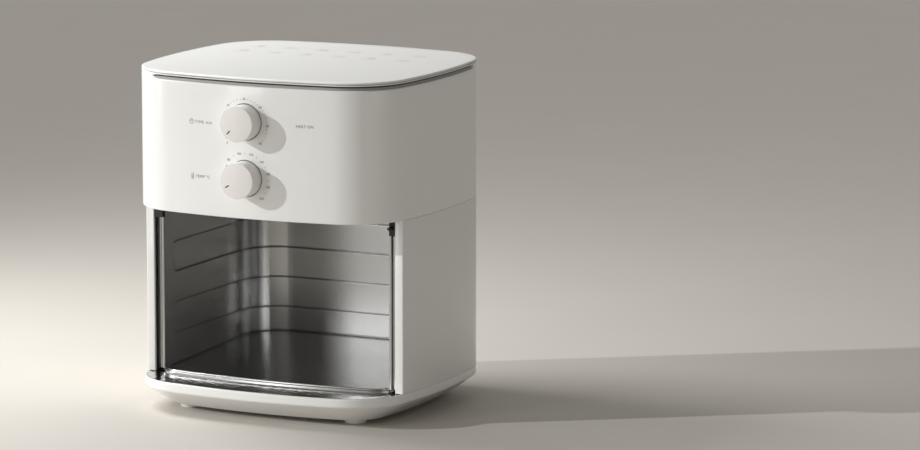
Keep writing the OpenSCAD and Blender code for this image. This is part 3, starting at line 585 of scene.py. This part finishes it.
def base_vents():
    """Fine slats in a lens-shaped patch on each flank of the chamfer, over a dark sheet of painted shade.

    Along the flank, the lens's half height is VENT_HALF * (1 - t**2) with t from -1 to 1. A point at (t, w)
    lies on the chamfer's slope, whose direction in (inset, z) is from its foot at (CHAMFER_IN, BASE_LOW) to
    (0, CHAMFER_TOP).
    """
    slope = np.array([-CHAMFER_IN, CHAMFER_TOP - BASE_LOW])
    run = np.linalg.norm(slope)
    slope = slope / run

    def on_slope(s, spread, lift):
        return on_body(s, CHAMFER_IN + slope[0] * spread - abs(slope[1]) * lift,
                       BASE_LOW + slope[1] * spread - abs(slope[0]) * lift)

    section = np.array([[-1.1, 0.05], [-0.9, 0.6], [0.9, 0.6], [1.1, 0.05]])
    t = np.linspace(-1, 1, 121)[:, None]
    w = np.linspace(-1, 1, 5)[None]
    shade_sheet_parts, slat_parts = [], []
    for middle in (ROUND * 0.25 - VENT_SHIFT, ROUND * 0.75 + VENT_SHIFT):
        spread = run * VENT_RISE + w * VENT_HALF * (1 - t ** 2)
        shade_sheet_parts.append(grid(on_slope(middle + VENT_LENGTH / 2 * t, spread, 0.12)))
        for k in np.linspace(-0.97, 0.97, VENT_SLATS):
            reach = VENT_HALF * (1 - k ** 2)
            spread = run * VENT_RISE + np.array([[-reach, reach]])
            s = middle + VENT_LENGTH / 2 * k + section[:, :1]
            slat_parts.append(grid(on_slope(s, spread, section[:, 1:]), wrap_u=True))
    # painted shade: the dark sheet stands in for the shade inside the grille's openings
    piece("vent_shade_sheet", shade_sheet_parts, SHADE_BLACK)
    piece("vent_slats", slat_parts, GRILLE, nodes=["base_grilles"], fill=True)


def feet():
    high = cad("feet")[1]
    r = 10.2             # radius of a foot
    x, y = high[0] - r, high[1] - r
    side = rounded([(0, 0, 0), (r - 0.2, 0, 1.6), (r, high[2] + 0.4, 0.5), (0, high[2] + 0.4, 0)], 6)
    spots = [(sx * x, sy * y, 0) for sx in SIGNS for sy in SIGNS]
    piece("feet_soft", [revolved(side, place, "z", 48) for place in spots], SHELL, nodes=["feet"])


# ---------------------------------------------------------------- steel cavity
WALL_X = 113.5           # inner face of the liner's flanks
WALL_BACK = LINER_HIGH[1] - 1
WALL_R = 36.0            # its rear corners
CLIMB_Y = -76.0          # where the floor starts to climb
BANDS = [(60.3, 88.5), (116.9, 144.5)]   # lowest and highest z of each pressed band
BAND_FRONT = -51.0       # where the bands end on the flanks
BAND_R = 5.0             # the round of their corners there
BAND_DEEP = 0.7          # how far they are pressed out
FAR = 1e3                # farther than any point of the liner from a band


def band_shape(y, z, on_side):
    """Signed distance in mm, negative inside, to the nearest pressed band.

    A band is a strip between two heights with corners of BAND_R at BAND_FRONT on the two flanks. Off the
    flanks only its height counts.
    """
    best = np.full(np.broadcast(y, z).shape, FAR)
    for low, high in BANDS:
        dz = np.abs(z - (low + high) / 2) - (high - low) / 2
        dy = np.where(on_side, BAND_FRONT - y, -FAR)
        qz, qy = dz + BAND_R, dy + BAND_R
        d = np.hypot(np.maximum(qz, 0), np.maximum(qy, 0)) + np.minimum(np.maximum(qz, qy), 0) - BAND_R
        best = np.minimum(best, d)
    return best


def floor_height(y):
    """Height of the liner's floor: level at the mouth, then a straight climb to the back wall.

    The height over FLOOR_Z is FLOOR_RISE times the share of the way from CLIMB_Y to WALL_BACK.
    """
    return FLOOR_Z + FLOOR_RISE * np.clip((y - CLIMB_Y) / (WALL_BACK - CLIMB_Y), 0, 1)


def liner_walls():
    """The wall line in plan, with a rolled lip and a flange at each jamb, drawn up in z.

    The inner face is pushed out by BAND_DEEP inside each band, over a 1.2 mm wide step with a fine groove
    on its edge. A last groove runs just above the floor's rim. A groove's depth is 0.8 * exp(-(d / 0.45)**2)
    at distance d from its middle.
    """
    right = [(121.3, -66.3, 0), (116.9, -66.3, 0.8), (116.3, -68.6, 1.0), (113.6, -68.6, 1.0),
             (WALL_X, -50, 4), (WALL_X, WALL_BACK, WALL_R)]
    plan = rounded(right + [(-x, y, r) for x, y, r in right[::-1]], 10)
    total = length(plan)
    lip, bend = 16.0, 50.0       # the rolled lip, and the wall as far as the bands' ends
    s = np.concatenate([spaced(0, lip, 0.4)[:-1], spaced(lip, bend, 0.6)[:-1],
                        spaced(bend, total - bend, 2.0)[:-1], spaced(total - bend, total - lip, 0.6)[:-1],
                        spaced(total - lip, total, 0.4)])
    edges = np.concatenate([spaced(e - 1.6, e + 1.6, 0.2) for band in BANDS for e in band])
    z = np.unique(np.concatenate([edges, spaced(FLOOR_Z, FLOOR_Z + FLOOR_RISE + 2.4, 0.25),
                                  spaced(FLOOR_Z + FLOOR_RISE + 2.4, LINER_HIGH[2], 1.8)]).round(3))
    p, n = along(plan, s)
    inside = smooth((p[:, 1] + 61) / 6)[:, None]
    side = (np.abs(p[:, 0]) > WALL_X - 1.5)[:, None]
    d = band_shape(p[:, 1][:, None], z[None], side)
    groove = np.exp(-(d / 0.45) ** 2) + np.exp(-((z[None] - floor_height(p[:, 1:]) - 0.7) / 0.45) ** 2)
    push = (BAND_DEEP * smooth(-d / 1.2 + 0.5) + 0.8 * groove) * inside
    flat = p[:, None] - n[:, None] * push[..., None]
    tall = np.broadcast_to(z[None, :, None], flat.shape[:2] + (1,))
    return grid(np.concatenate([flat, tall], -1))


def front_line():
    """The floor's front edge in plan: straight flanks, round corners and a bow of 750 mm radius between."""
    return rounded([(-WALL_X, -46, 0), (-WALL_X, -74.2, 17), (0, -86.2, 750), (WALL_X, -74.2, 17),
                    (WALL_X, -46, 0)], 24)


def liner_floor():
    """The floor inside the wall line and the front line, as rings drawn in to its middle.

    Every point's height is floor_height(y).
    """
    rim = rounded([(WALL_X, -46, 0), (WALL_X, WALL_BACK, WALL_R), (-WALL_X, WALL_BACK, WALL_R),
                   (-WALL_X, -46, 0)], 24)
    rim_p, _ = along(rim, spaced(0, length(rim), 3))
    edge_p, _ = along(front_line(), spaced(0, length(front_line()), 2))
    ring = np.concatenate([rim_p, edge_p[1:-1]])
    centre = np.array([0, 20.0])
    k = np.linspace(1, 0, 24)[None, :, None]
    flat = centre + (ring[:, None] - centre) * k
    return grid(np.concatenate([flat, floor_height(flat[..., 1:])], -1), wrap_u=True)


def floor_lip():
    """Two rolled beads along the floor's front edge, stepping down to the sill."""
    line = front_line()
    p, n = along(line, spaced(0, length(line), 1.5))
    section = rounded([(-1.6, FLOOR_Z - 0.3, 0), (-1.2, FLOOR_Z + 1.1, 0.9), (1.0, FLOOR_Z + 1.1, 1.0),
                       (1.3, FLOOR_Z - 0.7, 0.3), (2.2, FLOOR_Z - 0.2, 0.4), (3.4, FLOOR_Z - 0.4, 0.7),
                       (3.7, BASE_TOP - 0.2, 0)], 5)
    flat = p[:, None] - n[:, None] * section[None, :, :1]
    tall = np.broadcast_to(section[None, :, 1:], flat.shape[:2] + (1,))
    return grid(np.concatenate([flat, tall], -1))


def cavity():
    piece("cavity_pressing", [liner_walls(), liner_floor(), floor_lip()], LINER, nodes=["cavity_liner"],
          crease=50)


def sill():
    """Polished strip from the floor's lip out to the base's rim.

    Between the two lines, the height over the base's rim falls and rises as a shallow trough beside the lip
    and ends in a small upturn, both as bell curves of the distance d across. A slanting sine ripple of
    0.05 mm runs over the strip.
    """
    line = front_line()
    t = np.linspace(0, 1, 240)
    near_p, near_n = along(line, t * length(line))
    near_p = near_p - near_n * 3.2
    left, right = distance_at(-130, -60), distance_at(130, -60)
    far = on_body(left + (right - left) * t, 2.3, 0.0)[:, :2]
    v = np.linspace(0, 1, 40)[None, :, None]
    flat = near_p[:, None] * (1 - v) + far[:, None] * v
    gap = np.linalg.norm(far - near_p, axis=1)[:, None]
    d = v[..., 0] * gap
    z = BASE_TOP - 0.45 + 0.4 * np.exp(-(d / 2.5) ** 2) + 0.5 * np.exp(-((gap - d) / 1.1) ** 2)
    z = z - 0.35 * np.exp(-((d - 6) / 2.2) ** 2) + 0.05 * np.sin(0.55 * flat[..., 0] + 0.9 * flat[..., 1])
    piece("sill_strip", [grid(np.concatenate([flat, z[..., None]], -1))], SILL, nodes=["sill_plate"])


# ---------------------------------------------------------------- dials and print
def knob(name, z, node, body, pointer):
    """A turned cap with a soft edge, its satin face disc, and an inlaid pointer at the angle pointer.

    The angle is in degrees from the right, counterclockwise seen from the front. The pointer's outline is
    drawn flat and then filled from its middle.
    """
    tall = KNOB_BACK - KNOB_FRONT
    lip = KNOB_R - KNOB_EDGE
    side = rounded([(0, 0, 0), (KNOB_R, 0, 0.3), (KNOB_R, tall - 0.02, 0.35), (lip, tall - 0.02, 0)], 6)
    rim = np.array([[lip, tall - 0.02], [lip, tall - 0.25], [lip - 0.08, tall - 0.25]])
    body_profile = np.concatenate([side[:-1], rim, [[0, tall - 0.25]]])
    centre = (0, KNOB_BACK, z)
    piece(name, [revolved(body_profile, centre, "y")], KNOB, body, [node], crease=30)
    face = rounded([(0, tall - 0.6, 0), (lip - 0.08, tall - 0.6, 0), (lip - 0.08, tall - 0.03, 0.1),
                    (0, tall, 0)], 3)
    piece(name + "_face", [revolved(face, centre, "y")], KNOB_FACE, body)
    angle = np.radians(pointer)
    reach = np.array([np.cos(angle), np.sin(angle)])
    across = np.array([-reach[1], reach[0]])
    bar = rounded([(8.6, 0, 0), (8.6, 0.6, 0.5), (13.1, 0.6, 0.5), (13.1, -0.6, 0.5), (8.6, -0.6, 0.5),
                   (8.6, 0, 0)], 4)
    flat = bar[:, :1] * reach + bar[:, 1:] * across
    middle = 10.85 * reach
    k = np.array([1.0, 1.0, 0.0])[None, :, None]
    xz = middle + (flat[:, None] - middle) * k
    y = np.broadcast_to(KNOB_FRONT - np.array([-0.2, 0.0, 0.0])[None, :, None], xz.shape[:2] + (1,))
    points = np.concatenate([xz[..., :1], y, xz[..., 1:] + z], -1)
    piece(name + "_pointer", [grid(points)], INK, body)


def knob_seats():
    """The white rings that edge the two recesses, laid on the bow of the front, and black discs of painted
    shade in them.

    A ring's face follows front_y(x) and its bore goes in to KNOB_GAP_DEEP.
    """
    section = rounded([(COLLAR_R, -0.012, 0), (KNOB_GAP_R, -0.012, 0.25), (KNOB_GAP_R, KNOB_GAP_DEEP, 0)], 4)
    a = np.linspace(0, 2 * np.pi, 120, endpoint=False)[:, None]
    x, z = section[None, :, 0] * np.cos(a), section[None, :, 0] * np.sin(a)
    rings = [grid(np.stack([x, front_y(x) + section[None, :, 1], z + height], -1), wrap_u=True)
             for height in (TIME_Z, TEMP_Z)]
    piece("recess_rings", rings, SHELL)
    disc = rounded([(0, 0, 0), (KNOB_GAP_R + 0.1, 0, 0), (KNOB_GAP_R + 0.1, 0.5, 0), (0, 0.5, 0)])
    seat_y = -HALF_D + KNOB_GAP_DEEP - 0.1
    # painted shade: the black discs make the gap round each knob read dark
    piece("recess_shade_discs", [revolved(disc, (0, seat_y, height), "y") for height in (TIME_Z, TEMP_Z)], NYLON_AND_GAP_SHADE)


def front_y(x):
    """y of the casing's front face at x: the bow's circle of radius BOW_R."""
    return -HALF_D + BOW_R - np.sqrt(BOW_R ** 2 - x ** 2)


def word(text, size, spread=1.0):
    """Vertices and triangles of a word, centred in x and y, with a thin edge and its letters spread."""
    curve = bpy.data.curves.new("word", "FONT")
    curve.body, curve.size = text, size * MM
    curve.align_x, curve.align_y = "CENTER", "CENTER"
    curve.space_character = spread
    curve.extrude = 0.02 * MM
    curve.resolution_u = 3
    holder = bpy.data.objects.new("word", curve)
    mesh = bpy.data.meshes.new_from_object(holder)
    mesh.calc_loop_triangles()
    verts = np.empty(len(mesh.vertices) * 3, np.float32)
    mesh.vertices.foreach_get("co", verts)
    tris = np.empty(len(mesh.loop_triangles) * 3, np.int32)
    mesh.loop_triangles.foreach_get("vertices", tris)
    bpy.data.objects.remove(holder)
    bpy.data.meshes.remove(mesh)
    bpy.data.curves.remove(curve)
    return verts.reshape(-1, 3) / MM, tris.reshape(-1, 3)


def stroke(points, width, close=False):
    """A line of the given width through 2D points, as a thin closed bar (vertices, quads)."""
    points = np.asarray(points, float)
    t = np.roll(points, -1, 0) - np.roll(points, 1, 0) if close else np.gradient(points, axis=0)
    n = np.stack([-t[:, 1], t[:, 0]], -1) / np.linalg.norm(t, axis=1, keepdims=True)
    offsets, heights = np.array([-0.5, 0.5, 0.5, -0.5]) * width, np.array([0.02, 0.02, -0.02, -0.02])
    flat = points[:, None] + n[:, None] * offsets[None, :, None]
    tall = np.broadcast_to(heights[None, :, None], flat.shape[:2] + (1,))
    bar = np.concatenate([flat, tall], -1)
    if not close:
        ends = [bar[:1].mean(1, keepdims=True).repeat(4, 1), bar[-1:].mean(1, keepdims=True).repeat(4, 1)]
        bar = np.concatenate([ends[0], bar, ends[1]])
    verts, quads = grid(bar, wrap_u=close, wrap_v=True)
    return verts, quads[:, ::-1]


def circle(x, y, r, n=24):
    a = np.linspace(0, 2 * np.pi, n, endpoint=False)
    return np.stack([x + r * np.cos(a), y + r * np.sin(a)], -1)


def spot(x, y, r):
    """A filled round dot as a thin disc."""
    section = np.array([[0, 0.02], [1, 0.02], [1, -0.02], [0, -0.02]])
    a = np.linspace(0, 2 * np.pi, 12, endpoint=False)[:, None]
    p = np.stack([x + r * section[:, 0] * np.cos(a), y + r * section[:, 0] * np.sin(a),
                  np.broadcast_to(section[:, 1], (12, 4))], -1)
    return grid(p, wrap_u=True)


def as_quads(verts, faces):
    """Triangles as quads whose last corner repeats, so that every part joins alike."""
    return verts, np.concatenate([faces, faces[:, -1:]], 1)


def moved(part, x, y):
    verts, faces = part
    return verts + [x, y, 0], faces


def printed(name, parts, place, ink):
    """Ink shapes drawn flat, laid on the object by place(x, y, height)."""
    laid = [(place(v[:, 0], v[:, 1], v[:, 2]), f) for v, f in parts]
    counts = np.cumsum([0] + [len(v) for v, _ in laid])
    verts = np.concatenate([v for v, _ in laid]) * MM
    faces = [tuple(dict.fromkeys(face)) for (_, f), c in zip(laid, counts) for face in (f + c).tolist()]
    mesh = bpy.data.meshes.new(name)
    mesh.from_pydata(verts.tolist(), [], [face for face in faces if len(face) > 2])
    bm = bmesh.new()
    bm.from_mesh(mesh)
    bmesh.ops.remove_doubles(bm, verts=bm.verts, dist=1e-6)
    bmesh.ops.recalc_face_normals(bm, faces=bm.faces)
    bm.to_mesh(mesh)
    bm.free()
    settle(bpy.data.objects.new(name, mesh), ink)


def on_front(x, y, height):
    return np.stack([x, front_y(x) - 0.03 - height, y], -1)


def on_lid(x, y, height):
    return np.stack([x, y, LID_TOP + 0.015 + height], -1)


def polar(r, degrees):
    return r * np.cos(np.radians(degrees)), r * np.sin(np.radians(degrees))


def dial_print():
    """Scales, icons and labels on the front."""
    parts = []
    time_z, temp_z = TIME_Z - 2.2, TEMP_Z - 0.5          # middles of the two scales
    for i in range(7):                                   # 0 to 60 minutes over 270 degrees
        x, y = polar(22.6 if i else 24.4, 225 - 45 * i)
        parts.append(moved(as_quads(*word(str(10 * i), 3.1)), x - 0.6, time_z + y))
    for i in range(31):                                  # a dot for each 2 minutes between the numbers
        if i % 5:
            x, y = polar(22.6, 225 - 9 * i)
            parts.append(spot(x - 0.6, time_z + y, 0.36))
    for i in range(7):                                   # 80 to 200 °C over 180 degrees
        x, y = polar(23.0, 135 - 30 * i)
        parts.append(moved(as_quads(*word(str(80 + 20 * i), 3.1)), x, temp_z + y))
    for i in range(6):                                   # a dot between each two numbers
        x, y = polar(23.0, 120 - 30 * i)
        parts.append(spot(x, temp_z + y, 0.38))
    ramp = np.stack(polar(21.4, np.linspace(163, 147, 12)), -1) + [0, temp_z]
    parts.append(stroke(ramp, 0.4))
    x, z = -54.9, 267.9                                  # clock icon and its label
    parts.append(stroke(circle(x, z, 2.0), 0.45, True))
    parts.append(stroke([(x, z + 1.2), (x, z), (x, z - 0.1)], 0.4))
    parts.append(stroke([(x, z), (x + 0.5, z + 0.3), (x + 0.9, z + 0.5)], 0.4))
    parts.append(moved(as_quads(*word("TIME min", 3.7, 1.27)), -42.3, z - 0.2))
    x, z = -54.2, 218.9                                  # thermometer icon and its label
    tube = rounded([(x, z + 2.6, 0), (x + 1.0, z + 2.6, 0.9), (x + 1.0, z - 2.6, 0.9),
                    (x - 1.0, z - 2.6, 0.9), (x - 1.0, z + 2.6, 0.9), (x - 0.1, z + 2.6, 0)], 5)
    parts.append(stroke(tube, 0.4))
    parts.append(stroke([(x, z - 1.4), (x, z), (x, z + 1.0)], 0.5))
    parts.append(moved(as_quads(*word("TEMP °C", 3.7, 1.08)), -43.4, z))
    parts.append(moved(as_quads(*word("HEAT ON", 3.6, 1.08)), 57.8, 269.8))
    printed("dial_print", parts, on_front, INK)


ICON_SCALE = np.array([1.5, 1.15, 1.0])   # in x, y and height
ICON_X, ICON_PITCH = -88.5, 32.6          # middle of a row's first icon, and the step to the next
ICON_ROWS = (40.5, 72.5)


def lid_print():
    """Two rows of pale pictograms: plain dishes, each a ring or a bowl with a mark and a caption bar."""
    parts = []
    for row, y in enumerate(ICON_ROWS):
        for i in range(6):
            kind = (i + 2 * row) % 4
            if kind == 0:
                icon = [stroke(circle(0, 0, 3.0), 0.6, True), stroke(circle(0, 0, 1.5), 0.5, True)]
            elif kind == 1:
                bowl = np.stack(polar(3.4, np.linspace(180, 360, 14)), -1) + [0, 0.8]
                icon = [stroke(bowl, 0.6), stroke([(-3.6, 1.0), (0, 1.0), (3.6, 1.0)], 0.6)]
            elif kind == 2:
                icon = [stroke([(k, -2.6), (0.8 * k, 0), (k, 2.8)], 0.7) for k in (-1.8, 0, 1.8)]
            else:
                leaf = np.linspace(-1, 1, 14)
                icon = [stroke(np.stack([3.8 * leaf, side * 2.0 * (1 - leaf ** 2)], -1), 0.6)
                        for side in SIGNS]
            icon.append(stroke([(-4.6, -5.4), (0, -5.4), (4.6, -5.4)], 0.9))
            x = ICON_X + ICON_PITCH * i
            parts += [moved((verts * ICON_SCALE, faces), x, y) for verts, faces in icon]
    printed("lid_print", parts, on_lid, PALE_INK)


# ---------------------------------------------------------------- stage, light and view
FLOOR_REACH = 9000.0     # half the side of the studio floor
WORLD_STRENGTH = 0.51


def stage():
    """A wide pale floor, so that it fills the view from every side."""
    far = FLOOR_REACH * np.array(SIGNS)
    x, y = np.meshgrid(far, far, indexing="ij")
    verts, quads = grid(np.stack([x, y, 0 * x], -1))
    mesh = bpy.data.meshes.new("studio_floor")
    mesh.from_pydata((verts * MM).tolist(), [], quads.tolist())
    floor = bpy.data.objects.new("studio_floor", mesh)
    bpy.context.scene.collection.objects.link(floor)
    mesh.materials.append(finish("floor_paint_pale", "#CDC8C0", 0.6, 0.1, 3.0, 0.05, tint=0.02))


def lamp(name, kind, energy, place, aim, **settings):
    """A white light at a place, turned to an aim, both in metres."""
    light = bpy.data.lights.new(name, kind)
    light.energy = energy
    for key, value in settings.items():
        setattr(light, key, value)
    holder = bpy.data.objects.new(name, light)
    holder.location = Vector(place)
    holder.rotation_euler = (Vector(aim) - Vector(place)).to_track_quat("-Z", "Y").to_euler()
    bpy.context.scene.collection.objects.link(holder)


def lights():
    """A low hard key from the front left, soft boxes for the metal, and a room darker on the right."""
    lamp("key_sun", "SUN", 1.7, (-2.25, -1.6, 1.05), (0, 0, 0), angle=np.radians(1.0))
    for name, energy, place, aim, wide, high in (
            ("top_box", 8.5, (-0.62, 0.05, 0.77), (-0.1, 0, 0.3), 0.4, 0.6),
            ("right_fill", 3.0, (2.3, -0.7, 0.4), (0, 0, 0.1), 1.5, 1.0),
            ("left_strip", 6.4, (-1.0, -2.0, 0.5), (0, 0, 0.15), 0.35, 1.6),
            ("side_box", 2.0, (-1.75, -0.95, 0.5), (0, 0, 0.15), 0.2, 1.2)):
        lamp(name, "AREA", energy, place, aim, shape="RECTANGLE", size=wide, size_y=high)
    world = bpy.data.worlds.new("room")
    bpy.context.scene.world = world
    world.use_nodes = True
    tree = world.node_tree
    tree.nodes.clear()
    where = add(tree, "TexCoord")
    split = add(tree, "SeparateXYZ", {"Vector": (where, "Generated")})
    across = add(tree, "MapRange", {"Value": (split, "X")}, From_Min=-1.0, From_Max=1.0)
    ramp = add(tree, "ValToRGB", {"Fac": (across, "Result")})
    ramp.color_ramp.elements[0].color = linear("#F4F3F0")
    ramp.color_ramp.elements[1].color = linear("#8E8A83")
    sky = add(tree, "Background", {"Color": (ramp, "Color")}, Strength=WORLD_STRENGTH)
    add(tree, "OutputWorld", {"Surface": (sky, "Background")})
    bpy.context.scene.view_settings.view_transform = "Standard"


def camera():
    """The eye, its heading and its tilt, with a long lens.

    The heading is the angle in radians from +y towards -x, and the dip the angle below the horizon.
    """
    eye = Vector((2076.1, -3948.6, 910.7)) * MM
    heading, dip = 0.4538, 0.1667
    look = Vector((-np.sin(heading) * np.cos(dip), np.cos(heading) * np.cos(dip), -np.sin(dip)))
    lens = bpy.data.cameras.new("view")
    lens.sensor_width = 36.0
    lens.lens = 195.65
    lens.clip_end = 50
    holder = bpy.data.objects.new("view", lens)
    holder.matrix_world = Matrix.Translation(eye) @ look.to_track_quat("-Z", "Y").to_matrix().to_4x4()
    bpy.context.scene.collection.objects.link(holder)
    bpy.context.scene.camera = holder


camera()
dress_cad()
upper_casing()
slot_shade_bands()
lid()
lower_casing()
base()
base_vents()
feet()
cavity()
sill()
knob("time_cap", TIME_Z, "time_knob", "time_dial", 225)
knob("temp_cap", TEMP_Z, "temp_knob", "temp_dial", 210)
knob_seats()
dial_print()
lid_print()
stage()
lights()
